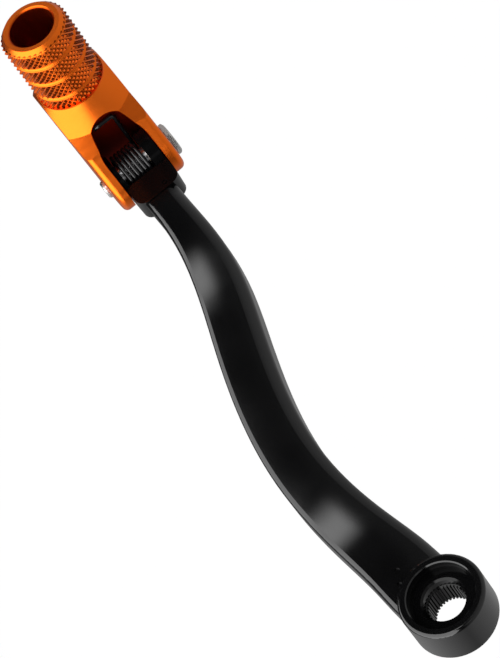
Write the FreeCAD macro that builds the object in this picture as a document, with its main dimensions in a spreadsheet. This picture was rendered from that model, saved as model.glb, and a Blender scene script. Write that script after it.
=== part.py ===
import FreeCAD, Part

import math
import os

import Sketcher

V = FreeCAD.Vector

# Folding gear shift lever for a motocross motorcycle: a forged arm that clamps on the shift shaft by
# its splined boss, and a machined tip that folds back on a sprung pivot at the arm's far end.
#
# Frame: the origin is on the spline's axis, in the plane of the boss's inner face. +X runs forward
# along the lever, +Y points outboard along the spline's axis, and +Z is up. Millimetres.
# The pieces of the hinge are drawn in the pivot's own frame: its origin is on the pivot's axis,
# midway between the tip's ears, and it is the main frame turned a few degrees about Y.

DIMENSIONS = {
    # boss and spline
    "boss_radius": 13.3, "boss_depth": 15.0, "boss_round": 1.1,
    "counterbore_radius": 10.4, "counterbore_depth": 2.2, "counterbore_edge": 0.35,
    "seat_radius": 9.9, "seat_depth": 3.4,
    "entry_radius": 6.5, "entry_depth": 3.6, "entry_edge": 0.6,
    "spline_minor": 5.85, "spline_major": 6.35, "spline_teeth": 36, "spline_mouth": 0.56,
    # the arm's section: the crown of its outboard face, and its edges: outboard top, bottom, inboard
    "crown_radius": 95.0, "edge_top": 3.4, "edge_bottom": 1.8, "edge_back": 2.4,
    # round marks in the arm's outboard side: where each is, its floor's height, and its radii
    "ring_x": 12.2, "ring_z": -7.9, "ring_floor": 12.05, "dimple_x": 16.5, "dimple_z": -6.1,
    "dimple_floor": 12.3, "head_ring_x": 142.7, "head_ring_z": 6.4, "head_ring_depth": 0.3,
    "ring_outer": 0.9, "ring_inner": 0.45, "dimple_radius": 1.0,
    # pivot
    "pivot_x": 158.0, "pivot_y": 65.0, "pivot_z": 2.85, "pivot_tilt": 3.3,
    # knuckle at the arm's end
    "knuckle_radius": 8.2, "knuckle_half": 7.75, "head_length": 17.6, "head_rear": 13.8,
    "head_back": 8.6, "head_face": 3.1, "head_corner": 3.2, "nose_reach": 8.94, "nose_drop": 6.0,
    "recess_radius": 8.5, "recess_low": -6.35, "recess_high": 4.0,
    "seal_seat_radius": 7.1, "seal_seat_depth": 0.6,
    # bushes, sleeve and seals
    "bush_radius": 5.0, "bush_bore": 4.03, "flange_radius": 5.95, "flange_height": 0.9,
    "sleeve_radius": 4.0, "sleeve_bore": 3.1, "sleeve_half": 8.1,
    "seal_ring": 6.52, "seal_section": 0.46,
    # pivot bolt
    "bolt_radius": 2.98, "bolt_proud": 1.1, "head_across": 10.0, "head_height": 1.5, "head_flat": 4.7,
    "head_washer_radius": 4.5, "head_washer_height": 0.45,
    # return spring
    "wire_radius": 0.65, "coil_radius": 6.6, "coil_pitch": 1.42, "coil_start": -5.58,
    "leg_lean": 6.2, "leg_reach": 16.2, "leg_bend": 1.3, "leg_end": -4.1, "leg_back": 11.8,
    "leg_hole": 0.8, "leg_hole_end": 12.6,
    # folding tip: fork
    "ear_radius": 9.3, "ear_half": 11.8, "ear_round": 1.8, "fork_angle": 46.0,
    "slot_half": 8.1, "slot_centre": 10.2, "slot_depth": 9.0,
    "bolt_hole": 3.2, "thread_hole": 3.0, "blank_radius": 36.0, "blank_low": -14.0,
    # folding tip: turned peg
    "peg_x": 23.8, "cone_low": 16.3, "cone_low_radius": 17.5, "facet_fall": 17.0,
    "cone_high": 23.3, "cone_high_radius": 11.4, "knurl_start": 23.8, "knurl_root": 10.65,
    "knurl_end": 48.9, "peg_end": 50.6, "face_radius": 9.3,
    "groove_first": 28.3, "groove_step": 7.45, "groove_half": 0.75, "groove_floor": 0.35,
    "groove_radius": 10.2,
    "peg_bore": 7.3, "peg_bore_depth": 24.0, "peg_bore_edge": 0.5,
}

# The arm's sections, each square to X: its X, the Y and Z of its middle, its width along Y and its
# height along Z. The arm drops below the line of its two ends, and steps outboard half way along.
SECTIONS = {
    "root": (2.0, 7.2, -1.2, 10.4, 22.4),
    "flare": (20.0, 7.6, -4.5, 10.4, 21.0),
    "heel": (38.0, 10.4, -8.6, 11.4, 19.0),
    "climb": (58.0, 19.6, -11.55, 12.4, 16.9),
    "belly": (76.0, 31.6, -9.3, 12.6, 16.3),
    "rise": (92.0, 43.2, -3.9, 12.2, 16.15),
    "crest": (108.0, 53.3, 1.7, 11.2, 15.0),
    "neck": (124.0, 60.0, 3.8, 10.2, 12.3),
    "throat": (136.0, 62.5, 3.5, 9.8, 11.3),
    "shoulder": (148.0, 63.0, 3.0, 9.6, 11.0),
}
SECTION_PARTS = ("x", "y", "z", "wide", "tall")

doc = FreeCAD.newDocument("gear_shift_lever")
sheet = doc.addObject("Spreadsheet::Sheet", "Dims")


def fill_sheet():
    """Write every driving dimension to the sheet as a plain number with an alias."""
    cells = dict(DIMENSIONS)
    for station, values in SECTIONS.items():
        for part, value in zip(SECTION_PARTS, values):
            cells[station + "_" + part] = value
    for row, (alias, value) in enumerate(cells.items(), start=1):
        sheet.set("A%d" % row, alias)
        sheet.set("B%d" % row, str(value))
        sheet.setAlias("B%d" % row, alias)
    doc.recompute()
    return cells


SIZE = fill_sheet()


def bind(thing, **expressions):
    """Bind properties of a document object to the sheet. A double underscore stands for a dot."""
    for path, expression in expressions.items():
        thing.setExpression(path.replace("__", "."), expression)


def new_body(name, at_pivot=False):
    body = doc.addObject("PartDesign::Body", name)
    body.Label = name
    if at_pivot:
        place_at_pivot(body)
    return body


def place_at_pivot(thing, path="Placement"):
    """Set a placement to the pivot's frame."""
    setattr(thing, path, FreeCAD.Placement(V(0, 0, 0), FreeCAD.Rotation(V(0, 1, 0), 1.0)))
    for axis in "xyz":
        thing.setExpression("%s.Base.%s" % (path, axis), "Dims.pivot_" + axis)
    thing.setExpression(path + ".Rotation.Angle", "Dims.pivot_tilt")


def new_sketch(body, name, role):
    sketch = body.newObject("Sketcher::SketchObject", name)
    plane = [p for p in body.Origin.OriginFeatures if p.Role == role][0]
    sketch.AttachmentSupport = [(plane, "")]
    sketch.MapMode = "FlatFace"
    return sketch


def pin(sketch, geometry, vertex, x, y):
    """Hold a point of a sketch at a place given by two expressions."""
    here = sketch.getPoint(geometry, vertex)
    for kind, value, expression in (("DistanceX", here.x, x), ("DistanceY", here.y, y)):
        row = sketch.addConstraint(Sketcher.Constraint(kind, -1, 1, geometry, vertex, value))
        sketch.setExpression("Constraints[%d]" % row, expression)


def outline(sketch, points):
    """Add a closed outline of straight lines, each corner given by two expressions."""
    count = len(points)
    guess = [V(20 * math.cos(2 * math.pi * i / count), 20 * math.sin(2 * math.pi * i / count), 0)
             for i in range(count)]
    first = sketch.GeometryCount
    for i in range(count):
        sketch.addGeometry(Part.LineSegment(guess[i], guess[(i + 1) % count]), False)
    for i in range(count):
        after = first + (i + 1) % count
        sketch.addConstraint(Sketcher.Constraint("Coincident", first + i, 2, after, 1))
    for i, (x, y) in enumerate(points):
        pin(sketch, first + i, 1, x, y)


def rectangle(sketch, left, low, right, high):
    outline(sketch, [(left, low), (right, low), (right, high), (left, high)])


def circle(sketch, x, y, radius):
    row = sketch.addGeometry(Part.Circle(V(0.1, 0.1, 0), V(0, 0, 1), 1.0), False)
    pin(sketch, row, 3, x, y)
    size = sketch.addConstraint(Sketcher.Constraint("Radius", row, 1.0))
    sketch.setExpression("Constraints[%d]" % size, radius)


def pad(body, sketch, name, length, both=False, back=False):
    feature = body.newObject("PartDesign::Pad", name)
    feature.Profile = sketch
    feature.Midplane = both
    feature.Reversed = back
    bind(feature, Length=length)
    return feature


def cut(body, sketch, name, length=None, both=False, back=False):
    """Pocket a sketch to a depth, or right through when no length is given. It has to remove metal."""
    doc.recompute()
    before = body.Shape.Volume
    feature = body.newObject("PartDesign::Pocket", name)
    feature.Profile = sketch
    feature.Midplane = both
    feature.Reversed = back
    if length is None:
        feature.Type = "ThroughAll"
    else:
        bind(feature, Length=length)
    return need_cut(body, feature, before)


def need_cut(body, feature, before):
    doc.recompute()
    if not body.Shape.Volume < before - 0.01:
        raise RuntimeError(feature.Name + " cuts nothing")
    return feature


def groove(body, sketch, name, axis):
    doc.recompute()
    before = body.Shape.Volume
    feature = body.newObject("PartDesign::Groove", name)
    feature.Profile = sketch
    feature.ReferenceAxis = axis
    feature.Angle = 360
    return need_cut(body, feature, before)


def dress(body, kind, name, size, wanted):
    """Fillet or chamfer the edges of the body's last feature that a test accepts."""
    doc.recompute()
    base = body.Tip
    names = ["Edge%d" % n for n, edge in enumerate(base.Shape.Edges, start=1) if wanted(edge)]
    if not names:
        raise RuntimeError(name + " finds no edge")
    feature = body.newObject("PartDesign::" + kind, name)
    feature.Base = (base, names)
    bind(feature, **{"Radius" if kind == "Fillet" else "Size": size})
    return feature


def middle(edge):
    return edge.valueAt((edge.FirstParameter + edge.LastParameter) / 2)


def is_circle(edge, radius):
    return isinstance(edge.Curve, Part.Circle) and abs(edge.Curve.Radius - radius) < 0.01


# ---------------------------------------------------------------- lever arm


def arm_section(body, station):
    """A section square to X: flat top, bottom and inboard side, a crowned outboard face, round corners."""
    sketch = new_sketch(body, "Section_" + station, "YZ_Plane")
    bind(sketch, AttachmentOffset__Base__z="Dims.%s_x" % station)
    y, z, wide, tall = (SIZE[station + "_" + part] for part in SECTION_PARTS[1:])
    top, bottom, back, crown = (SIZE[n] for n in ("edge_top", "edge_bottom", "edge_back", "crown_radius"))
    left, low, high = y - wide / 2, z - tall / 2, z + tall / 2
    middle_y = y + wide / 2 - crown

    def crown_corner(radius, up):
        across = math.sqrt((crown - radius) ** 2 - (up - z) ** 2)
        return V(middle_y + across, up, 0), math.atan2(up - z, across)

    upper, upper_angle = crown_corner(top, high - top)
    lower, lower_angle = crown_corner(bottom, low + bottom)
    quarter = math.pi / 2
    arcs = [(upper, top, upper_angle, quarter), (V(left + back, high - back, 0), back, quarter, 2 * quarter),
            (V(left + back, low + back, 0), back, 2 * quarter, 3 * quarter),
            (lower, bottom, 3 * quarter, 4 * quarter + lower_angle),
            (V(middle_y, z, 0), crown, lower_angle, upper_angle)]
    arcs = [Part.ArcOfCircle(Part.Circle(centre, V(0, 0, 1), radius), start, end)
            for centre, radius, start, end in arcs]
    pieces = []
    for i in range(3):
        pieces += [arcs[i], Part.LineSegment(arcs[i].EndPoint, arcs[i + 1].StartPoint)]
    pieces += [arcs[3], arcs[4]]
    for piece in pieces:
        sketch.addGeometry(piece, False)
    for row in range(8):
        sketch.addConstraint(Sketcher.Constraint("Tangent", row, 2, (row + 1) % 8, 1))
    for row, direction in ((1, "Horizontal"), (3, "Vertical"), (5, "Horizontal")):
        sketch.addConstraint(Sketcher.Constraint(direction, row))
    for row, size, radius in ((0, "edge_top", top), (2, "edge_back", back), (4, "edge_back", back),
                              (6, "edge_bottom", bottom), (7, "crown_radius", crown)):
        limit = sketch.addConstraint(Sketcher.Constraint("Radius", row, radius))
        sketch.setExpression("Constraints[%d]" % limit, "Dims." + size)
    side = "Dims.{0}_{1} {2} Dims.{0}_{3} / 2"
    for row, vertex, kind, value, limit in (
            (3, 1, "DistanceX", left, side.format(station, "y", "-", "wide")),
            (1, 1, "DistanceY", high, side.format(station, "z", "+", "tall")),
            (5, 1, "DistanceY", low, side.format(station, "z", "-", "tall")),
            (7, 3, "DistanceX", middle_y, side.format(station, "y", "+", "wide") + " - Dims.crown_radius"),
            (7, 3, "DistanceY", z, "Dims.%s_z" % station)):
        number = sketch.addConstraint(Sketcher.Constraint(kind, -1, 1, row, vertex, value))
        sketch.setExpression("Constraints[%d]" % number, limit)
    return sketch


def arm_loft(body):
    sections = [arm_section(body, station) for station in SECTIONS]
    doc.recompute()
    loft = body.newObject("PartDesign::AdditiveLoft", "Forging")
    loft.Profile = sections[0]
    loft.Sections = sections[1:]


def arm_boss(body):
    """The boss, its counterbore and seat, and the splined bore."""
    sketch = new_sketch(body, "BossOutline", "XZ_Plane")
    circle(sketch, "0", "0", "Dims.boss_radius")
    pad(body, sketch, "Boss", "Dims.boss_depth", back=True)
    whole = 1.9 * math.pi * SIZE["boss_radius"]
    dress(body, "Fillet", "BossRound", "Dims.boss_round",
          lambda edge: is_circle(edge, SIZE["boss_radius"]) and edge.Length > whole)
    sketch = new_sketch(body, "BoreProfile", "XY_Plane")
    outline(sketch, [
        ("0", "-1"),
        ("Dims.spline_minor", "-1"),
        ("Dims.spline_minor", "Dims.boss_depth - Dims.seat_depth - Dims.entry_depth"),
        ("Dims.entry_radius", "Dims.boss_depth - Dims.seat_depth - Dims.entry_depth + 0.5"),
        ("Dims.entry_radius", "Dims.boss_depth - Dims.seat_depth - Dims.entry_edge"),
        ("Dims.entry_radius + Dims.entry_edge", "Dims.boss_depth - Dims.seat_depth"),
        ("Dims.seat_radius", "Dims.boss_depth - Dims.seat_depth"),
        ("Dims.seat_radius", "Dims.boss_depth - Dims.counterbore_depth"),
        ("Dims.counterbore_radius", "Dims.boss_depth - Dims.counterbore_depth"),
        ("Dims.counterbore_radius", "Dims.boss_depth - Dims.counterbore_edge"),
        ("Dims.counterbore_radius + Dims.counterbore_edge", "Dims.boss_depth"),
        ("Dims.counterbore_radius + Dims.counterbore_edge + 1", "Dims.boss_depth + 1"),
        ("0", "Dims.boss_depth + 1"),
    ])
    groove(body, sketch, "Bores", (sketch, ["V_Axis"]))
    sketch = new_sketch(body, "ToothSpace", "XZ_Plane")
    outline(sketch, [
        ("Dims.spline_minor - 0.3", "-Dims.spline_mouth / 2 - 0.1"),
        ("Dims.spline_major", "-0.1"),
        ("Dims.spline_major", "0.1"),
        ("Dims.spline_minor - 0.3", "Dims.spline_mouth / 2 + 0.1"),
    ])
    space = cut(body, sketch, "FirstToothSpace",
                "Dims.boss_depth - Dims.seat_depth - Dims.entry_depth + 0.45")
    pattern = body.newObject("PartDesign::PolarPattern", "ToothSpaces")
    pattern.Originals = [space]
    pattern.Axis = (sketch, ["N_Axis"])
    pattern.Angle = 360
    bind(pattern, Occurrences="Dims.spline_teeth")
    body.Tip = pattern


def at_pivot(body, name):
    sketch = new_sketch(body, name, "XY_Plane")
    place_at_pivot(sketch, "AttachmentOffset")
    return sketch


def arm_head(body):
    """The head's block, wider than the arm, with a slanting end and round corners."""
    sketch = at_pivot(body, "HeadOutline")
    outline(sketch, [("-Dims.head_rear", "-Dims.head_back"), ("0", "-Dims.head_back"),
                     ("0", "Dims.head_face"), ("-Dims.head_length", "Dims.head_face")])
    pad(body, sketch, "Head", "2 * Dims.knuckle_half", both=True)
    head_axes = FreeCAD.Placement(V(SIZE["pivot_x"], SIZE["pivot_y"], SIZE["pivot_z"]),
                                  FreeCAD.Rotation(V(0, 1, 0), SIZE["pivot_tilt"])).inverse()

    def head_corner(edge):
        where = head_axes.multVec(middle(edge))
        return where.x < -SIZE["head_rear"] and abs(abs(where.z) - SIZE["knuckle_half"]) < 0.01

    dress(body, "Fillet", "HeadCorners", "Dims.head_corner", head_corner)


def arm_knuckle(body):
    """Two lugs round the pivot, with a recess between them for the coil."""
    sketch = at_pivot(body, "KnuckleOutline")
    circle(sketch, "0", "0", "Dims.knuckle_radius")
    pad(body, sketch, "Knuckle", "2 * Dims.knuckle_half", both=True)
    sketch = at_pivot(body, "NoseOutline")
    rectangle(sketch, "0", "-Dims.nose_drop", "Dims.nose_reach", "0")
    pad(body, sketch, "Nose", "2 * Dims.knuckle_half", both=True)
    for name in ("CoilRecess", "NoseRecess"):
        sketch = at_pivot(body, name + "Outline")
        bind(sketch, AttachmentOffset__Base__x="Dims.pivot_x + Dims.recess_low * sin(Dims.pivot_tilt)",
             AttachmentOffset__Base__z="Dims.pivot_z + Dims.recess_low * cos(Dims.pivot_tilt)")
        if name == "CoilRecess":
            circle(sketch, "0", "0", "Dims.recess_radius")
        else:
            rectangle(sketch, "1", "-Dims.nose_drop - 1", "Dims.nose_reach + 1", "1")
        cut(body, sketch, name, "Dims.recess_high - Dims.recess_low", back=True)
    sketch = new_sketch(body, "LegHoleOutline", "YZ_Plane")
    sketch.AttachmentOffset = FreeCAD.Placement(V(0, 0, 0), FreeCAD.Rotation(V(1, 0, 0), 1))
    bind(sketch, AttachmentOffset__Rotation__Angle="Dims.pivot_tilt",
         AttachmentOffset__Base__x="Dims.pivot_y", AttachmentOffset__Base__y="Dims.pivot_z",
         AttachmentOffset__Base__z="Dims.pivot_x")
    circle(sketch, "-Dims.coil_radius", "Dims.coil_start", "Dims.leg_hole")
    cut(body, sketch, "LegHole", "Dims.leg_hole_end")
    sketch = at_pivot(body, "BushBoreOutline")
    circle(sketch, "0", "0", "Dims.bush_radius")
    cut(body, sketch, "BushBore", both=True)
    for side, back in (("1", False), ("-1", True)):
        sketch = at_pivot(body, "SealSeatOutline" + ("Low" if back else "High"))
        reach = "%s * Dims.knuckle_half" % side
        bind(sketch, AttachmentOffset__Base__x="Dims.pivot_x + %s * sin(Dims.pivot_tilt)" % reach,
             AttachmentOffset__Base__z="Dims.pivot_z + %s * cos(Dims.pivot_tilt)" % reach)
        circle(sketch, "0", "0", "Dims.seal_seat_radius")
        cut(body, sketch, "SealSeat" + ("Low" if back else "High"), "Dims.seal_seat_depth", back=back)


def mark(body, name, x, z, floor, radius, inner=None):
    """A shallow round mark in the arm's outboard side, with its middle left standing if it is a ring."""
    sketch = new_sketch(body, name + "Outline", "XZ_Plane")
    bind(sketch, AttachmentOffset__Base__z="-(%s)" % floor)
    circle(sketch, x, z, radius)
    if inner:
        circle(sketch, x, z, inner)
    cut(body, sketch, name, "1")


def make_arm():
    body = new_body("lever_arm")
    arm_head(body)
    arm_loft(body)
    arm_boss(body)
    arm_knuckle(body)
    mark(body, "RingMark", "Dims.ring_x", "Dims.ring_z", "Dims.ring_floor", "Dims.ring_outer",
         "Dims.ring_inner")
    mark(body, "Dimple", "Dims.dimple_x", "Dims.dimple_z", "Dims.dimple_floor", "Dims.dimple_radius")
    mark(body, "HeadRingMark", "Dims.head_ring_x", "Dims.head_ring_z",
         "Dims.pivot_y + Dims.head_face - Dims.head_ring_depth", "Dims.ring_outer", "Dims.ring_inner")
    return body


# ---------------------------------------------------------------- folding tip


def turned_profile(sketch):
    """Half the turned shape of the tip, to one side of the peg's axis, and the axis itself."""
    def at(radius, y):
        return ("Dims.peg_x + " + radius, y)

    points = [("Dims.peg_x", "Dims.blank_low"), at("Dims.blank_radius", "Dims.blank_low"),
              at("Dims.blank_radius",
                 "Dims.cone_low - (Dims.blank_radius - Dims.cone_low_radius) * tan(Dims.facet_fall)"),
              at("Dims.cone_low_radius", "Dims.cone_low"), at("Dims.cone_high_radius", "Dims.cone_high"),
              at("Dims.cone_high_radius", "Dims.knurl_start"), at("Dims.knurl_root", "Dims.knurl_start")]
    for number in range(3):
        here = "Dims.groove_first + %d * Dims.groove_step" % number
        points += [at("Dims.knurl_root", here + " - Dims.groove_half"),
                   at("Dims.groove_radius", here + " - Dims.groove_floor"),
                   at("Dims.groove_radius", here + " + Dims.groove_floor"),
                   at("Dims.knurl_root", here + " + Dims.groove_half")]
    points += [at("Dims.knurl_root", "Dims.knurl_end"), at("Dims.face_radius", "Dims.peg_end"),
               ("Dims.peg_x", "Dims.peg_end")]
    outline(sketch, points)


def peg_axis(sketch):
    row = sketch.addGeometry(Part.LineSegment(V(20, 0, 0), V(20, 30, 0)), True)
    pin(sketch, row, 1, "Dims.peg_x", "0")
    pin(sketch, row, 2, "Dims.peg_x", "30")


def fork_outline(sketch):
    """The tip seen along the pivot: a slanting bar with a round end at the pivot, open round the peg."""
    angle, radius = math.radians(SIZE["fork_angle"]), SIZE["ear_radius"]
    along, out = V(math.cos(angle), math.sin(angle), 0), V(-math.sin(angle), math.cos(angle), 0)
    rear, front = out * radius, out * -radius
    top, left, right = SIZE["peg_end"] + 10, 5.5, SIZE["peg_x"] + 12.8
    whole = Part.Circle(V(0, 0, 0), V(0, 0, 1), radius)
    arc = Part.ArcOfCircle(whole, angle + math.pi / 2, angle + 1.5 * math.pi)
    rear_top = rear + along * ((left - rear.x) / along.x)
    front_top = front + along * ((right - front.x) / along.x)
    corners = [front, front_top, V(right, top, 0), V(left, top, 0), rear_top, rear]
    rows = [sketch.addGeometry(arc, False)]
    for start, end in zip(corners, corners[1:]):
        rows.append(sketch.addGeometry(Part.LineSegment(start, end), False))
    sketch.addConstraint(Sketcher.Constraint("Coincident", rows[0], 3, -1, 1))
    sketch.addConstraint(Sketcher.Constraint("Tangent", rows[0], 2, rows[1], 1))
    sketch.addConstraint(Sketcher.Constraint("Tangent", rows[5], 2, rows[0], 1))
    for i in range(1, 5):
        sketch.addConstraint(Sketcher.Constraint("Coincident", rows[i], 2, rows[i + 1], 1))
    for row, direction in ((2, "Vertical"), (3, "Horizontal"), (4, "Vertical")):
        sketch.addConstraint(Sketcher.Constraint(direction, rows[row]))
    limits = ((Sketcher.Constraint("Radius", rows[0], radius), "Dims.ear_radius"),
              (Sketcher.Constraint("Angle", -1, 1, rows[1], 1, angle), "Dims.fork_angle * 1 deg"),
              (Sketcher.Constraint("Parallel", rows[1], rows[5]), None),
              (Sketcher.Constraint("DistanceX", -1, 1, rows[2], 1, right), "Dims.peg_x + 12.8"),
              (Sketcher.Constraint("DistanceX", -1, 1, rows[4], 1, left), "5.5"),
              (Sketcher.Constraint("DistanceY", -1, 1, rows[3], 1, top), "Dims.peg_end + 10"))
    for constraint, expression in limits:
        number = sketch.addConstraint(constraint)
        if expression:
            sketch.setExpression("Constraints[%d]" % number, expression)
    rectangle(sketch, "-80", "-80", "100", "120")


def make_tip():
    body = new_body("folding_tip", at_pivot=True)
    sketch = new_sketch(body, "TurnedProfile", "XY_Plane")
    turned_profile(sketch)
    peg_axis(sketch)
    turned = body.newObject("PartDesign::Revolution", "Turned")
    turned.Profile = sketch
    turned.ReferenceAxis = (sketch, ["Axis0"])
    turned.Angle = 360
    sketch = new_sketch(body, "ForkOutline", "XY_Plane")
    fork_outline(sketch)
    cut(body, sketch, "ForkSides", both=True)
    sketch = new_sketch(body, "FlatsOutline", "XZ_Plane")
    rectangle(sketch, "-60", "Dims.ear_half", "80", "60")
    rectangle(sketch, "-60", "-60", "80", "-Dims.ear_half")
    cut(body, sketch, "Flats", both=True)
    half = SIZE["ear_half"]

    def ear_edge(edge):
        on_flat = all(abs(abs(v.Z) - half) < 0.01 for v in edge.Vertexes)
        return on_flat and (isinstance(edge.Curve, Part.Line) or is_circle(edge, SIZE["ear_radius"]))

    dress(body, "Fillet", "EarRounds", "Dims.ear_round", ear_edge)
    sketch = new_sketch(body, "SlotOutline", "YZ_Plane")
    bind(sketch, AttachmentOffset__Base__z="Dims.slot_depth")
    slot_outline(sketch)
    cut(body, sketch, "Slot")
    sketch = new_sketch(body, "BoltHoleOutline", "XY_Plane")
    circle(sketch, "0", "0", "Dims.bolt_hole")
    cut(body, sketch, "BoltHole", back=True)
    sketch = new_sketch(body, "ThreadHoleOutline", "XY_Plane")
    circle(sketch, "0", "0", "Dims.thread_hole")
    cut(body, sketch, "ThreadHole")
    sketch = new_sketch(body, "PegBoreProfile", "XY_Plane")
    peg_axis(sketch)
    outline(sketch, [("Dims.peg_x", "Dims.peg_end - Dims.peg_bore_depth - 2"),
                     ("Dims.peg_x + Dims.peg_bore", "Dims.peg_end - Dims.peg_bore_depth"),
                     ("Dims.peg_x + Dims.peg_bore", "Dims.peg_end - Dims.peg_bore_edge"),
                     ("Dims.peg_x + Dims.peg_bore + Dims.peg_bore_edge", "Dims.peg_end"),
                     ("Dims.peg_x + Dims.peg_bore + Dims.peg_bore_edge", "Dims.peg_end + 1"),
                     ("Dims.peg_x", "Dims.peg_end + 1")])
    groove(body, sketch, "PegBore", (sketch, ["Axis0"]))
    return body


def slot_outline(sketch):
    """The slot between the ears, seen along X: straight sides and a round end towards the peg."""
    half, centre, low = SIZE["slot_half"], SIZE["slot_centre"], -30.0
    arc = Part.ArcOfCircle(Part.Circle(V(centre, 0, 0), V(0, 0, 1), half), -math.pi / 2, math.pi / 2)
    rows = [sketch.addGeometry(arc, False)]
    corners = [V(centre, half, 0), V(low, half, 0), V(low, -half, 0), V(centre, -half, 0)]
    for start, end in zip(corners, corners[1:]):
        rows.append(sketch.addGeometry(Part.LineSegment(start, end), False))
    sketch.addConstraint(Sketcher.Constraint("Tangent", rows[0], 2, rows[1], 1))
    sketch.addConstraint(Sketcher.Constraint("Tangent", rows[3], 2, rows[0], 1))
    for i in (1, 2):
        sketch.addConstraint(Sketcher.Constraint("Coincident", rows[i], 2, rows[i + 1], 1))
    sketch.addConstraint(Sketcher.Constraint("Horizontal", rows[1]))
    sketch.addConstraint(Sketcher.Constraint("Vertical", rows[2]))
    sketch.addConstraint(Sketcher.Constraint("Horizontal", rows[3]))
    size = sketch.addConstraint(Sketcher.Constraint("Radius", rows[0], half))
    sketch.setExpression("Constraints[%d]" % size, "Dims.slot_half")
    pin(sketch, rows[0], 3, "Dims.slot_centre", "0")
    limit = sketch.addConstraint(Sketcher.Constraint("DistanceX", -1, 1, rows[2], 1, low))
    sketch.setExpression("Constraints[%d]" % limit, "-30")


# ---------------------------------------------------------------- pivot hardware


def make_bolt():
    body = new_body("pivot_bolt", at_pivot=True)
    sketch = new_sketch(body, "ShankOutline", "XY_Plane")
    circle(sketch, "0", "0", "Dims.bolt_radius")
    bind(sketch, AttachmentOffset__Base__z="-Dims.ear_half - Dims.bolt_proud")
    pad(body, sketch, "Shank", "2 * Dims.ear_half + Dims.bolt_proud + 0.2")
    sketch = new_sketch(body, "WasherFaceOutline", "XY_Plane")
    bind(sketch, AttachmentOffset__Base__z="Dims.ear_half + 0.01")
    circle(sketch, "0", "0", "Dims.head_washer_radius")
    pad(body, sketch, "WasherFace", "Dims.head_washer_height")
    sketch = new_sketch(body, "HexOutline", "XY_Plane")
    bind(sketch, AttachmentOffset__Base__z="Dims.ear_half + Dims.head_washer_height")
    corner = "Dims.head_across / sqrt(3) * "
    outline(sketch, [(corner + "cos(%d)" % turn, corner + "sin(%d)" % turn) for turn in range(0, 360, 60)])
    pad(body, sketch, "Hex", "Dims.head_height")
    sketch = new_sketch(body, "HexCornerProfile", "XZ_Plane")
    top = "Dims.ear_half + Dims.head_washer_height + Dims.head_height"
    outline(sketch, [("Dims.head_flat", top), ("Dims.head_flat + 3", top + " - 3 * tan(30)"),
                     ("Dims.head_flat + 3", top + " + 1"), ("Dims.head_flat", top + " + 1")])
    groove(body, sketch, "HexCorners", (sketch, ["V_Axis"]))
    dress(body, "Chamfer", "ThreadLead", "0.5",
          lambda edge: is_circle(edge, SIZE["bolt_radius"]) and middle(edge).z < 0)
    return body


def cylinder(name, radius, height, low):
    """A cylinder on the pivot's axis, from a height given by an expression."""
    thing = doc.addObject("Part::Cylinder", name)
    bind(thing, Radius=radius, Height=height, Placement__Base__z=low)
    return thing


def join(kind, name, base, tool):
    thing = doc.addObject("Part::" + kind, name)
    thing.Base = base
    thing.Tool = tool
    return thing


def make_sleeve():
    outside = cylinder("SleeveOutside", "Dims.sleeve_radius", "2 * Dims.sleeve_half - 0.02",
                       "-Dims.sleeve_half + 0.01")
    inside = cylinder("SleeveInside", "Dims.sleeve_bore", "2 * Dims.sleeve_half + 2",
                      "-Dims.sleeve_half - 1")
    sleeve = join("Cut", "pivot_sleeve", outside, inside)
    place_at_pivot(sleeve)
    return sleeve


def make_bush(name, upper):
    """A flanged bush, with its flange against the ear and its barrel in the lug."""
    seat = "(Dims.knuckle_half - Dims.seal_seat_depth)"
    if upper:
        inner, flange_low = "Dims.recess_high", seat
        barrel_low, barrel_height = inner, seat + " - Dims.recess_high"
    else:
        barrel_low, barrel_height = "-" + seat, seat + " + Dims.recess_low"
        flange_low = "-" + seat + " - Dims.flange_height"
    barrel = cylinder(name + "_barrel", "Dims.bush_radius", barrel_height, barrel_low)
    flange = cylinder(name + "_flange", "Dims.flange_radius", "Dims.flange_height", flange_low)
    bore = cylinder(name + "_bore", "Dims.bush_bore", "4 * Dims.knuckle_half", "-2 * Dims.knuckle_half")
    bush = join("Cut", name, join("Fuse", name + "_solid", barrel, flange), bore)
    place_at_pivot(bush)
    return bush


def make_seal(name, side):
    """A ring seal between the lug and the ear, round the bush's flange."""
    seal = doc.addObject("Part::Torus", name)
    bind(seal, Radius1="Dims.seal_ring", Radius2="Dims.seal_section")
    place_at_pivot(seal)
    height = "%s * (Dims.knuckle_half - Dims.seal_seat_depth + Dims.slot_half) / 2" % side
    bind(seal, Placement__Base__x="Dims.pivot_x + %s * sin(Dims.pivot_tilt)" % height,
         Placement__Base__z="Dims.pivot_z + %s * cos(Dims.pivot_tilt)" % height)
    return seal


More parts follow.
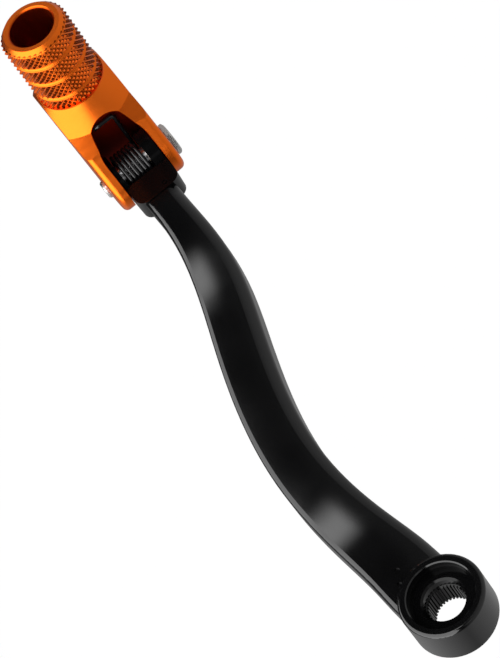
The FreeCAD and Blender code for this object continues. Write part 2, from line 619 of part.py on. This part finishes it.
def make_spring():
    """A close coil round the sleeve. One leg sits in the arm's head and one bears on the tip."""
    body = new_body("return_spring", at_pivot=True)
    sketch = new_sketch(body, "WireSection", "YZ_Plane")
    circle(sketch, "-Dims.coil_radius", "Dims.coil_start", "Dims.wire_radius")
    coil = body.newObject("PartDesign::AdditiveHelix", "Coil")
    coil.Profile = sketch
    coil.ReferenceAxis = (sketch, ["V_Axis"])
    coil.Mode = 1
    bind(coil, Pitch="Dims.coil_pitch", Turns="6 + (90 - Dims.leg_lean) / 360")
    sketch = new_sketch(body, "ArmLegSection", "YZ_Plane")
    circle(sketch, "-Dims.coil_radius", "Dims.coil_start", "Dims.wire_radius")
    pad(body, sketch, "ArmLeg", "Dims.leg_back", back=True)
    top = "(Dims.coil_start + Dims.coil_pitch * (6 + (90 - Dims.leg_lean) / 360))"
    section = new_sketch(body, "TipLegSection", "XZ_Plane")
    section.AttachmentOffset = FreeCAD.Placement(V(0, 0, 0), FreeCAD.Rotation(V(0, 1, 0), 1))
    bind(section, AttachmentOffset__Rotation__Angle="-Dims.leg_lean",
         AttachmentOffset__Base__x="Dims.coil_radius * cos(Dims.leg_lean)",
         AttachmentOffset__Base__z="Dims.coil_radius * sin(Dims.leg_lean)")
    circle(section, "0", top, "Dims.wire_radius")
    path = new_sketch(body, "TipLegPath", "YZ_Plane")
    path.AttachmentOffset = FreeCAD.Placement(V(0, 0, 0), FreeCAD.Rotation(V(0, 1, 0), 1))
    bind(path, AttachmentOffset__Rotation__Angle="-Dims.leg_lean",
         AttachmentOffset__Base__x="-Dims.coil_radius * sin(Dims.leg_lean)",
         AttachmentOffset__Base__z="Dims.coil_radius * cos(Dims.leg_lean)")
    reach, bend, end = SIZE["leg_reach"], SIZE["leg_bend"], SIZE["leg_end"]
    high = SIZE["coil_start"] + SIZE["coil_pitch"] * (6 + (90 - SIZE["leg_lean"]) / 360)
    straight = Part.LineSegment(V(0, high, 0), V(reach - bend, high, 0))
    turn = Part.ArcOfCircle(Part.Circle(V(reach - bend, high - bend, 0), V(0, 0, 1), bend), 0, math.pi / 2)
    hook = Part.LineSegment(V(reach, high - bend, 0), V(reach, end, 0))
    for piece in (straight, turn, hook):
        path.addGeometry(piece, False)
    path.addConstraint(Sketcher.Constraint("Horizontal", 0))
    path.addConstraint(Sketcher.Constraint("Vertical", 2))
    path.addConstraint(Sketcher.Constraint("Tangent", 0, 2, 1, 2))
    path.addConstraint(Sketcher.Constraint("Tangent", 1, 1, 2, 1))
    size = path.addConstraint(Sketcher.Constraint("Radius", 1, bend))
    path.setExpression("Constraints[%d]" % size, "Dims.leg_bend")
    pin(path, 0, 1, "0", top)
    pin(path, 2, 2, "Dims.leg_reach", "Dims.leg_end")
    doc.recompute()
    leg = body.newObject("PartDesign::AdditivePipe", "TipLeg")
    leg.Profile = section
    leg.Spine = (path, ["Edge1", "Edge2", "Edge3"])
    return body


# ---------------------------------------------------------------- build, check and write

nodes = [make_arm(), make_tip(), make_bolt(), make_sleeve(),
         make_bush("upper_bush", True), make_bush("lower_bush", False),
         make_seal("upper_seal", "1"), make_seal("lower_seal", "-1"), make_spring()]
doc.recompute()

faults = [thing.Name for thing in doc.Objects if "Invalid" in thing.State or "Error" in thing.State]
faults += [node.Name for node in nodes if node.Shape.isNull() or not node.Shape.isValid()]
if faults:
    raise RuntimeError("failed: " + ", ".join(faults))

os.makedirs("parts", exist_ok=True)
for node in nodes:
    node.Shape.exportStep("parts/%s.step" % node.Label)
    print("%-16s solids %d  volume %9.2f mm3" % (node.Label, len(node.Shape.Solids), node.Shape.Volume))
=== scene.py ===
import math

import bmesh
import bpy
from mathutils import Matrix, Vector


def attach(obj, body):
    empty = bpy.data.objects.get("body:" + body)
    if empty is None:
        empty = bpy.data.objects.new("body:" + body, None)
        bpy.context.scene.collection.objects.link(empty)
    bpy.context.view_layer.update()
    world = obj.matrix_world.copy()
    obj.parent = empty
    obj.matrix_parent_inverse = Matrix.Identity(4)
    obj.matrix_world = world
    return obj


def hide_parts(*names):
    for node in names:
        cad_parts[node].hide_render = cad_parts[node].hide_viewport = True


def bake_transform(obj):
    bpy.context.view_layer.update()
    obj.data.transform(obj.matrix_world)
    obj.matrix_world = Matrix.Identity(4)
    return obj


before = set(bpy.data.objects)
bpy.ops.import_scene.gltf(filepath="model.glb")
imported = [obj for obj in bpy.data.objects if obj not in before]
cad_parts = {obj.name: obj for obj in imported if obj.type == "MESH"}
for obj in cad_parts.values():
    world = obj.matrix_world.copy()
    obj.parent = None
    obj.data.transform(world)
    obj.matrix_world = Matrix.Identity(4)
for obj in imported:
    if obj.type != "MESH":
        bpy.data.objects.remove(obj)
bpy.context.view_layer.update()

# The row frame is in metres: +X forward along the lever, +Y outboard, +Z up, origin on the spline's axis.
# The pivot's frame is the same as in the part's source: on the pivot's axis, midway between the tip's ears.
# The sizes below are in millimetres, in the pivot's frame. The peg lies along +Y there.
PIVOT = Matrix.Translation((0.158, 0.065, 0.00285)) @ Matrix.Rotation(math.radians(3.3), 4, "Y")
MM = 0.001

# The peg: its axis, its end, the cone from its end face up to the knurling, and its bore's edge and floor.
PEG_X = 23.8
PEG_END = 50.6
END_FACE_RADIUS = 9.3
END_CONE_SLOPE = 0.79
BORE_EDGE = (7.2, 7.9)
BORE_FLOOR = 24.3

# The tip's slot for the spring's leg: a round-ended opening over the coil.
SLOT_CENTRE = 10.2
SLOT_HALF = 8.12
SLOT_DEPTH = 9.02

# The knurling: bands of blunt diamonds from a root to a crest, with a turned rim beside three grooves.
KNURLED = ((23.82, 27.6), (29.0, 35.05), (36.45, 42.5), (43.9, 49.2))
DIAMONDS_AROUND = 36
DIAMOND_LENGTH = 2.01
KNURL_ROOT = 10.45
KNURL_CREST = 11.2
BLUNTNESS = 0.2
BAND_FOOT = KNURL_ROOT - 0.15
BAND_END_SLOPE = 0.35
RIM_WIDTH = 0.36
RIM_SLOPE = 1.4
RIM_FOOT = 10.3
RIM_CORE = 10.0
RIM_SIDES = 144

# The spring: the coil, its leg in the arm's head, and its leg in the tip's slot, which ends in a hook.
COIL_RADIUS = 6.6
COIL_START = -5.58
COIL_PITCH = 1.42
WIRE_RADIUS = 0.65
LEG_LEAN = 6.2
TURNS = 6 + (90 - LEG_LEAN) / 360
ARM_LEG = (-11.8, -8.0, -4.0, -1.5)
TIP_LEG = (0.0, 4.0, 9.0, 14.0, 14.9)
HOOK_BEND = 1.3
HOOK = (0.0, -2.0, -4.1)

# Painted shade on the black forging, in the row frame: where the boss's bore ends, how much of the reflection
# is left inside it, and where the arm's head starts.
BOSS_BORE_EDGE = (9.8, 10.6)
BOSS_BORE_SHINE_LEFT = 0.28
HEAD_START = (137, 141)

# The camera, in metres: the point that it looks at, how far off it stands, its angle from +Y towards -X, and
# how far it leans over.
VIEW_CENTRE = Vector((0.09522, 0.0453, 0.00096))
VIEW_DISTANCE = 0.8
VIEW_ANGLE = math.radians(39)
VIEW_LEAN = math.radians(53.8)
VIEW_LENS = 146.6


# ---------------------------------------------------------------- shader nodes

# The owner of a node is a material, a world or a light. An output or input is given by its name or number.


def add(owner, kind, **values):
    node = owner.node_tree.nodes.new("ShaderNode" + kind)
    for key, value in values.items():
        if key in node.inputs.keys():
            node.inputs[key].default_value = value
        else:
            setattr(node, key, value)
    return node


def link(owner, source, output, target, socket):
    owner.node_tree.links.new(source.outputs[output], target.inputs[socket])


def ramp(owner, source, output, low, high, values=(0.0, 1.0)):
    """Map a range of one value to another, and hold it at its ends."""
    node = add(owner, "MapRange")
    node.inputs["From Min"].default_value = low
    node.inputs["From Max"].default_value = high
    node.inputs["To Min"].default_value = values[0]
    node.inputs["To Max"].default_value = values[1]
    link(owner, source, output, node, "Value")
    return node


def combine(owner, operation, first, second):
    """A Math node. Each of its two values is a number, or a node with its output."""
    node = add(owner, "Math", operation=operation)
    for socket, value in enumerate((first, second)):
        if isinstance(value, tuple):
            link(owner, value[0], value[1], node, socket)
        else:
            node.inputs[socket].default_value = value
    return node


def mix_colour(mat, factor, output, a, b):
    node = add(mat, "Mix", data_type="RGBA")
    node.inputs[6].default_value = (*a, 1)
    node.inputs[7].default_value = (*b, 1)
    link(mat, factor, output, node, "Factor")
    return node


def length_ramp(mat, across, split, low, high):
    """A ramp over the length made up of one node's first output and the Z of a split point."""
    both = add(mat, "CombineXYZ")
    link(mat, across, 0, both, 0)
    link(mat, split, "Z", both, 2)
    length = add(mat, "VectorMath", operation="LENGTH")
    link(mat, both, 0, length, 0)
    return ramp(mat, length, "Value", low, high)


# ---------------------------------------------------------------- materials


def new_material(name):
    mat = bpy.data.materials.new(name)
    mat.use_nodes = True
    mat.node_tree.nodes.clear()
    return mat


def object_noise(mat, place, scale, detail, roughness, stretch=None):
    """Noise over the object's own coordinates, stretched along its axes if that is asked for."""
    noise = add(mat, "TexNoise", Scale=scale, Detail=detail, Roughness=roughness)
    if stretch is None:
        link(mat, place, "Object", noise, "Vector")
    else:
        mapping = add(mat, "Mapping")
        mapping.inputs["Scale"].default_value = stretch
        link(mat, place, "Object", mapping, "Vector")
        link(mat, mapping, "Vector", noise, "Vector")
    return noise


def finish_surface(mat, shader, height=None, strength=0.1, distance=0.0002):
    """Connect the shader to the output, with a bump from the height node if there is one."""
    out = add(mat, "OutputMaterial")
    link(mat, shader, 0, out, "Surface")
    if height is not None:
        bump = add(mat, "Bump", Strength=strength, Distance=distance)
        link(mat, height, "Fac", bump, "Height")
        link(mat, bump, "Normal", shader, "Normal")
    return mat


def outside_bore_and_slot(mat, place):
    """A mask for the tip's painted shade: 0 in the peg's bore and in the slot, 1 on its other surfaces."""
    local = add(mat, "Mapping", vector_type="TEXTURE")
    local.inputs["Location"].default_value = PIVOT.to_translation()
    local.inputs["Rotation"].default_value = PIVOT.to_euler()
    link(mat, place, "Object", local, "Vector")
    split = add(mat, "SeparateXYZ")
    link(mat, local, 0, split, 0)
    from_peg = combine(mat, "ADD", (split, "X"), -PEG_X * MM)
    round_bore = length_ramp(mat, from_peg, split, BORE_EDGE[0] * MM, BORE_EDGE[1] * MM)
    under_bore = ramp(mat, split, "Y", (BORE_FLOOR - 0.1) * MM, (BORE_FLOOR + 0.1) * MM, (1.0, 0.0))
    bore = combine(mat, "MAXIMUM", (round_bore, "Result"), (under_bore, "Result"))
    from_centre = combine(mat, "ADD", (split, "Y"), -SLOT_CENTRE * MM)
    above_centre = combine(mat, "MAXIMUM", (from_centre, 0), 0.0)
    round_slot = length_ramp(mat, above_centre, split, SLOT_HALF * MM, (SLOT_HALF + 0.1) * MM)
    past_slot = ramp(mat, split, "X", SLOT_DEPTH * MM, (SLOT_DEPTH + 0.1) * MM)
    slot = combine(mat, "MAXIMUM", (round_slot, "Result"), (past_slot, "Result"))
    return combine(mat, "MINIMUM", (bore, 0), (slot, 0))


def anodised_orange(name, dark, light, rough):
    """Machined aluminium under bright orange anodising: fine tool marks, and a rougher bore and slot whose
    colour is darkened as painted shade.
    """
    mat = new_material(name)
    place = add(mat, "TexCoord")
    cloud = object_noise(mat, place, scale=90.0, detail=4.0, roughness=0.55)
    marks = object_noise(mat, place, scale=1.0, detail=2.0, roughness=0.5, stretch=(1800.0, 1800.0, 120.0))
    outside = outside_bore_and_slot(mat, place)
    colour = mix_colour(mat, cloud, "Fac", dark, light)
    # Painted shade: the colour in the bore and the slot is a dark red in place of the orange.
    painted_shade = mix_colour(mat, outside, 0, (0.28, 0.012, 0.001), (0, 0, 0))
    link(mat, colour, 2, painted_shade, 7)
    shine = ramp(mat, marks, "Fac", 0.3, 0.7, rough)
    spread = add(mat, "Mix", data_type="FLOAT")
    spread.inputs[2].default_value = 0.4
    link(mat, outside, 0, spread, 0)
    link(mat, shine, "Result", spread, 3)
    shader = add(mat, "BsdfPrincipled", Metallic=1.0)
    link(mat, painted_shade, 2, shader, "Base Color")
    link(mat, spread, 0, shader, "Roughness")
    return finish_surface(mat, shader, height=marks, strength=0.05, distance=0.00001)


def anodised_black():
    """A polished forging under black anodising, with painted shade: its reflection is turned down inside the
    boss's bore and at the head.
    """
    mat = new_material("black_anodised_forging")
    place = add(mat, "TexCoord")
    grain = object_noise(mat, place, scale=2600.0, detail=2.0, roughness=0.6)
    cloud = object_noise(mat, place, scale=70.0, detail=5.0, roughness=0.6)
    colour = mix_colour(mat, cloud, "Fac", (0.0009, 0.0009, 0.001), (0.0019, 0.0019, 0.0021))
    rough = ramp(mat, cloud, "Fac", 0.3, 0.7, (0.1, 0.14))
    split = add(mat, "SeparateXYZ")
    link(mat, place, "Object", split, 0)
    outside_bore = length_ramp(mat, split, split, BOSS_BORE_EDGE[0] * MM, BOSS_BORE_EDGE[1] * MM)
    behind_head = ramp(mat, split, "X", HEAD_START[0] * MM, HEAD_START[1] * MM, (1.0, 0.0))
    # Painted shade: the specular level drops inside the boss's bore and over the arm's head.
    bore = combine(mat, "MAXIMUM", (outside_bore, "Result"), BOSS_BORE_SHINE_LEFT)
    unshaded_shine = combine(mat, "MINIMUM", (bore, 0), (behind_head, "Result"))
    level = ramp(mat, unshaded_shine, 0, 0.0, 1.0, (0.08, 0.5))
    shader = add(mat, "BsdfPrincipled", Metallic=0.0)
    link(mat, colour, 2, shader, "Base Color")
    link(mat, rough, "Result", shader, "Roughness")
    link(mat, level, "Result", shader, "Specular IOR Level")
    return finish_surface(mat, shader, height=grain, strength=0.12, distance=0.00002)


def bare_metal(name, light, dark, rough):
    """A bare metal with fine marks along its surface."""
    mat = new_material(name)
    place = add(mat, "TexCoord")
    marks = object_noise(mat, place, scale=1.0, detail=3.0, roughness=0.6, stretch=(150.0, 150.0, 4000.0))
    colour = mix_colour(mat, marks, "Fac", dark, light)
    spread = ramp(mat, marks, "Fac", 0.3, 0.7, rough)
    shader = add(mat, "BsdfPrincipled", Metallic=1.0)
    link(mat, colour, 2, shader, "Base Color")
    link(mat, spread, "Result", shader, "Roughness")
    return finish_surface(mat, shader, height=marks, strength=0.03, distance=0.000005)


def coated(name, low, high, rough, scale):
    """A dark coating or rubber: a faint cloudy tone and a fine grain."""
    mat = new_material(name)
    grain = object_noise(mat, add(mat, "TexCoord"), scale=scale, detail=3.0, roughness=0.6)
    colour = mix_colour(mat, grain, "Fac", low, high)
    spread = ramp(mat, grain, "Fac", 0.3, 0.7, rough)
    shader = add(mat, "BsdfPrincipled", Metallic=0.0)
    link(mat, colour, 2, shader, "Base Color")
    link(mat, spread, "Result", shader, "Roughness")
    return finish_surface(mat, shader, height=grain, strength=0.1, distance=0.00002)


ORANGE = anodised_orange("orange_anodised_aluminium", (0.88, 0.15, 0.011), (0.94, 0.17, 0.014), (0.28, 0.36))
# The knurling is the same orange anodising as the rest of the tip, painted much darker all over as shade
# among its diamonds.
KNURL_WITH_PAINTED_SHADE = anodised_orange("orange_knurling_painted_shade", (0.21, 0.033, 0.0035), (0.26, 0.041, 0.0045), (0.22, 0.3))
BLACK = anodised_black()
STAINLESS = bare_metal("stainless_steel", (0.66, 0.64, 0.62), (0.58, 0.56, 0.54), (0.24, 0.3))
GROUND = bare_metal("ground_steel", (0.56, 0.56, 0.57), (0.44, 0.44, 0.45), (0.2, 0.34))
BRONZE = bare_metal("bearing_bronze", (0.62, 0.42, 0.2), (0.48, 0.3, 0.13), (0.28, 0.42))
WIRE = coated("black_spring_wire", (0.002, 0.002, 0.0022), (0.004, 0.004, 0.0044), (0.1, 0.16), 900.0)
RUBBER = coated("black_seal_rubber", (0.005, 0.005, 0.006), (0.01, 0.01, 0.011), (0.4, 0.55), 1400.0)

FINISHES = {
    "lever_arm": BLACK, "folding_tip": ORANGE, "pivot_bolt": STAINLESS, "pivot_sleeve": GROUND,
    "upper_bush": BRONZE, "lower_bush": BRONZE, "upper_seal": RUBBER, "lower_seal": RUBBER,
    "return_spring": WIRE,
}
for node, mat in FINISHES.items():
    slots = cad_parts[node].data.materials
    slots.clear()
    slots.append(mat)


# ---------------------------------------------------------------- pieces


def make_mesh(bm, name, place=None):
    """Turn a bmesh into a mesh, moved by a matrix if there is one."""
    mesh = bpy.data.meshes.new(name)
    bm.to_mesh(mesh)
    bm.free()
    if place is not None:
        mesh.transform(place)
    return mesh


def new_piece(name, mesh, mat, body=None):
    obj = bpy.data.objects.new(name, mesh)
    bpy.context.collection.objects.link(obj)
    mesh.materials.append(mat)
    if body:
        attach(obj, body)
    return obj


def peg_piece(name, bm, mat):
    """A piece modelled round the peg's axis in millimetres, set on the peg."""
    bmesh.ops.recalc_face_normals(bm, faces=bm.faces[:])
    on_peg = PIVOT @ Matrix.Scale(MM, 4) @ Matrix.Translation((PEG_X, 0, 0))
    return new_piece(name, make_mesh(bm, name, on_peg), mat, "tip")


def bisect(bm, height, clear_inner=False, clear_outer=False):
    """Cut a bmesh at a height along the peg, and clear what lies below or above it."""
    bmesh.ops.bisect_plane(bm, geom=bm.verts[:] + bm.edges[:] + bm.faces[:], dist=1e-5,
                           plane_co=(0, height, 0), plane_no=(0, 1, 0),
                           clear_inner=clear_inner, clear_outer=clear_outer)


def knurl_lattice(low, high):
    """Rows of blunt diamonds round the peg's axis, a little past both ends of a band."""
    step, rise = math.pi / DIAMONDS_AROUND, DIAMOND_LENGTH / 2
    first, last = math.floor(low / rise) - 1, math.ceil(high / rise) + 1
    sides = ((1, 0), (0, 1), (-1, 0), (0, -1))
    bm = bmesh.new()
    known = {}

    def vertex(turn, up, radius):
        key = (round(turn % (2 * DIAMONDS_AROUND), 4), round(up, 4), radius)
        if key not in known:
            angle = turn * step
            known[key] = bm.verts.new((radius * math.cos(angle), up * rise, radius * math.sin(angle)))
        return known[key]

    for row in range(first, last + 1):
        for turn in range(row % 2, 2 * DIAMONDS_AROUND, 2):
            foot = [vertex(turn + a, row + b, KNURL_ROOT) for a, b in sides]
            top = [vertex(turn + a * BLUNTNESS, row + b * BLUNTNESS, KNURL_CREST) for a, b in sides]
            for i in range(4):
                bm.faces.new((foot[i], top[i], top[(i + 1) % 4], foot[(i + 1) % 4]))
            bm.faces.new(top[::-1])
    return bm


def radius_of(vert):
    return math.hypot(vert.co.x, vert.co.z)


def scale_radius(vert, factor):
    vert.co.x *= factor
    vert.co.z *= factor


def knurl_band(name, low, high, limit):
    """A band of knurling round the peg, with its two ends turned down."""
    bm = knurl_lattice(low, high)
    bisect(bm, low, clear_inner=True)
    bisect(bm, high, clear_outer=True)
    bisect(bm, high - RIM_WIDTH)
    ends = [edge for edge in bm.edges if edge.is_boundary]
    grown = bmesh.ops.extrude_edge_only(bm, edges=ends)["geom"]
    for vert in [item for item in grown if isinstance(item, bmesh.types.BMVert)]:
        radius = radius_of(vert)
        outward = -1 if abs(vert.co.y - low) < abs(vert.co.y - high) else 1
        scale_radius(vert, BAND_FOOT / radius)
        vert.co.y += outward * (radius - BAND_FOOT) * BAND_END_SLOPE
    for vert in bm.verts:
        radius, allowed = radius_of(vert), limit(vert.co.y, high)
        if radius > allowed:
            scale_radius(vert, allowed / radius)
    return peg_piece(name, bm, KNURL_WITH_PAINTED_SHADE)


def end_cone(y, high):
    """The radius that the cone at the peg's end leaves for the knurling, just proud of the cone."""
    return END_FACE_RADIUS + (PEG_END - y) * END_CONE_SLOPE + 0.03


def rim_cone(y, high):
    """The radius that a turned rim at the band's outer end leaves for the knurling, just under the rim."""
    return RIM_FOOT - 0.02 + (high - y) * RIM_SLOPE


def turned_rim(name, high):
    """A smooth turned cone round the peg, at the outer end of a knurled band."""
    low = high - RIM_WIDTH
    profile = ((RIM_FOOT, high), (RIM_FOOT + RIM_WIDTH * RIM_SLOPE, low), (RIM_CORE, low), (RIM_CORE, high))
    bm = bmesh.new()
    rings = []
    for i in range(RIM_SIDES):
        angle = 2 * math.pi * i / RIM_SIDES
        rings.append([bm.verts.new((r * math.cos(angle), y, r * math.sin(angle))) for r, y in profile])
    for here, after in zip(rings, rings[1:] + rings[:1]):
        for j in range(4):
            bm.faces.new((here[j], here[(j + 1) % 4], after[(j + 1) % 4], after[j]))
    return peg_piece(name, bm, ORANGE)


for number, (low, high) in enumerate(KNURLED):
    outermost = number == len(KNURLED) - 1
    limit = end_cone if outermost else rim_cone
    knurl_band("knurl_band_%d" % number, low, high, limit)
    if not outermost:
        turned_rim("groove_rim_%d" % number, high)


def tube(points, radius, sides=20):
    """A mesh tube along a list of points in the pivot's frame, with flat ends."""
    bm = bmesh.new()
    rings = []
    side = None
    for i, point in enumerate(points):
        ahead = (points[min(i + 1, len(points) - 1)] - points[max(i - 1, 0)]).normalized()
        if side is None:
            side = ahead.orthogonal().normalized()
        side = (side - ahead * side.dot(ahead)).normalized()
        up = ahead.cross(side)
        rings.append([bm.verts.new(point + (side * math.cos(a) + up * math.sin(a)) * radius)
                      for a in (2 * math.pi * k / sides for k in range(sides))])
    for a, b in zip(rings, rings[1:]):
        for k in range(sides):
            bm.faces.new((a[k], a[(k + 1) % sides], b[(k + 1) % sides], b[k]))
    bm.faces.new(rings[0][::-1])
    bm.faces.new(rings[-1])
    for face in bm.faces:
        face.smooth = len(face.verts) == 4
    return make_mesh(bm, "tube", PIVOT @ Matrix.Scale(MM, 4))


def helix_point(turn):
    """A point on the coil's centre line, counted in turns from its start under the arm's leg."""
    angle = math.radians(-90 + 360 * turn)
    height = COIL_START + COIL_PITCH * turn
    return Vector((COIL_RADIUS * math.cos(angle), COIL_RADIUS * math.sin(angle), height))


def coil_line():
    """The centre line of the leg in the arm's head and of the coil."""
    points = [Vector((x, -COIL_RADIUS, COIL_START)) for x in ARM_LEG]
    return points + [helix_point(TURNS * i / 300) for i in range(301)]


def tip_leg_line():
    """The centre line of the leg in the slot: straight out of the coil, then bent down into a hook."""
    lean = math.radians(-LEG_LEAN)
    out, top = Vector((-math.sin(lean), math.cos(lean), 0)), helix_point(TURNS)
    points = [top + out * d for d in TIP_LEG]
    for degrees in range(10, 91, 10):
        a = math.radians(degrees)
        down = Vector((0, 0, -HOOK_BEND * (1 - math.cos(a))))
        points.append(top + out * (TIP_LEG[-1] + HOOK_BEND * math.sin(a)) + down)
    return points + [top + out * (TIP_LEG[-1] + HOOK_BEND) + Vector((0, 0, z - top.z)) for z in HOOK]


coil_piece = new_piece("spring_coil", tube(coil_line(), WIRE_RADIUS), WIRE)
leg_piece = new_piece("spring_leg", tube(tip_leg_line(), WIRE_RADIUS), WIRE, "tip")
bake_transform(coil_piece)
for piece in (coil_piece, leg_piece):
    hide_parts("return_spring")


# ---------------------------------------------------------------- stage


def glowing(name, strength, albedo):
    """A white surface that gives off its own even light."""
    mat = new_material(name)
    shader = add(mat, "BsdfPrincipled", Roughness=0.9)
    shader.inputs["Base Color"].default_value = (albedo, albedo, albedo, 1)
    shader.inputs["Emission Color"].default_value = (1, 1, 1, 1)
    shader.inputs["Emission Strength"].default_value = strength
    return finish_surface(mat, shader)


def stage_piece(bm, name, mat, centre):
    """A piece of the stage that lights nothing and shows in no reflection."""
    obj = new_piece(name, make_mesh(bm, name), mat)
    obj.location = centre
    obj.visible_diffuse = False
    obj.visible_glossy = False
    return obj


bm = bmesh.new()
bmesh.ops.create_circle(bm, cap_ends=True, segments=96, radius=3.0)
stage_piece(bm, "floor", glowing("pale_floor", 0.9, 0.15), (0.1, 0.03, -0.55))

bm = bmesh.new()
bmesh.ops.create_uvsphere(bm, u_segments=48, v_segments=24, radius=6.0)
backdrop = stage_piece(bm, "backdrop", glowing("white_backdrop", 1.0, 0.0), (0, 0, 0))
backdrop.visible_transmission = False
backdrop.visible_shadow = False


# ---------------------------------------------------------------- light


def studio_world():
    """A dim studio: dark at the horizon and below, lighter overhead, and with a soft glow low at the rear."""
    world = bpy.data.worlds.new("studio")
    bpy.context.scene.world = world
    world.use_nodes = True
    place = add(world, "TexCoord")
    split = add(world, "SeparateXYZ")
    link(world, place, "Generated", split, 0)
    height = ramp(world, split, "Z", -1.0, 1.0)
    level = add(world, "ValToRGB")
    link(world, height, "Result", level, "Fac")
    stops = level.color_ramp.elements
    stops[0].position = 0.45
    stops[0].color = (0.03, 0.03, 0.03, 1)
    stops[1].position = 0.95
    stops[1].color = (0.6, 0.6, 0.6, 1)
    for position, value in ((0.51, 0.04), (0.6, 0.26), (0.7, 0.42)):
        stops.new(position).color = (value, value, value, 1)
    toward = add(world, "VectorMath", operation="DOT_PRODUCT")
    toward.inputs[1].default_value = (-0.142, -0.807, -0.574)
    link(world, place, "Generated", toward, 0)
    facing = add(world, "Clamp")
    link(world, toward, "Value", facing, "Value")
    glow = combine(world, "POWER", (facing, "Result"), 3.0)
    total = add(world, "VectorMath", operation="MULTIPLY_ADD")
    total.inputs[1].default_value = (0.65, 0.65, 0.65)
    link(world, glow, "Value", total, 0)
    link(world, level, "Color", total, 2)
    link(world, total, "Vector", world.node_tree.nodes["Background"], "Color")


def softbox(name, centre, width, height, radiance, facing):
    """A rectangular soft light of a given brightness, unseen by the camera. Facing is its rotation."""
    data = bpy.data.lights.new(name, "AREA")
    data.shape = "RECTANGLE"
    data.size = width
    data.size_y = height
    data.energy = radiance * math.pi * width * height
    obj = bpy.data.objects.new(name, data)
    bpy.context.collection.objects.link(obj)
    obj.matrix_world = Matrix.Translation(centre) @ facing.to_4x4()
    obj.visible_camera = False
    return obj


def side_light(name, azimuth, distance, height, size, radiance):
    """An upright soft light at an angle from +Y towards -X, facing the middle of the lever."""
    angle = math.radians(azimuth)
    away = Vector((-math.sin(angle), math.cos(angle), 0))
    facing = Matrix((up.cross(away), up, away)).transposed()
    centre = Vector((0.09, 0.04, height)) + away * distance
    return softbox(name, centre, size[0], size[1], radiance, facing)


def soften(light, margins):
    """Fade a soft light towards its edges, over a given share of its width and of its height."""
    data = light.data
    data.use_nodes = True
    place = add(data, "NewGeometry")
    split = add(data, "SeparateXYZ")
    link(data, place, "Parametric", split, 0)
    product = add(data, "Math", operation="MULTIPLY")
    for axis, margin in enumerate(margins):
        shift = combine(data, "SUBTRACT", (split, axis), 0.5)
        length = add(data, "Math", operation="ABSOLUTE")
        link(data, shift, 0, length, 0)
        fade = ramp(data, length, 0, 0.5 - margin, 0.5, (1.0, 0.0))
        fade.interpolation_type = "SMOOTHSTEP"
        link(data, fade, "Result", product, axis)
    link(data, product, 0, data.node_tree.nodes["Emission"], "Strength")


# Back points from the lever to the camera, and side to the camera's right before it leans over.
up = Vector((0, 0, 1))
back = Vector((-math.sin(VIEW_ANGLE), math.cos(VIEW_ANGLE), 0))
side = up.cross(back)

studio_world()

# The light table lies under the lever and reaches towards the camera, but hardly behind the lever.
table_centre = back * 0.75 + side * 0.05 - up * 0.3
table_facing = Matrix((side, back, -up)).transposed()
softbox("light_table", table_centre, width=1.74, height=1.6, radiance=3.6, facing=table_facing)

# The strip light is the brightest of the side lights, and fades towards its edges.
strip = side_light("strip_light", azimuth=7.5, distance=1.2, height=-0.15, size=(0.55, 0.38), radiance=4.0)
soften(strip, (0.42, 0.3))
side_light("side_fill", azimuth=54, distance=1.2, height=0.22, size=(0.3, 0.34), radiance=0.45)
side_light("tip_fill", azimuth=-49.5, distance=0.73, height=0.0, size=(0.16, 0.16), radiance=0.7)


# ---------------------------------------------------------------- camera

right = up * math.sin(VIEW_LEAN) + side * math.cos(VIEW_LEAN)
above = up * math.cos(VIEW_LEAN) - side * math.sin(VIEW_LEAN)
facing = Matrix((right, above, back)).transposed().to_4x4()
camera = bpy.data.objects.new("camera", bpy.data.cameras.new("camera"))
bpy.context.collection.objects.link(camera)
camera.matrix_world = Matrix.Translation(VIEW_CENTRE + back * VIEW_DISTANCE) @ facing
camera.data.lens = VIEW_LENS
camera.data.sensor_width = 36.0
camera.data.clip_start = 0.05
bpy.context.scene.camera = camera
bpy.context.scene.view_settings.view_transform = "Standard"
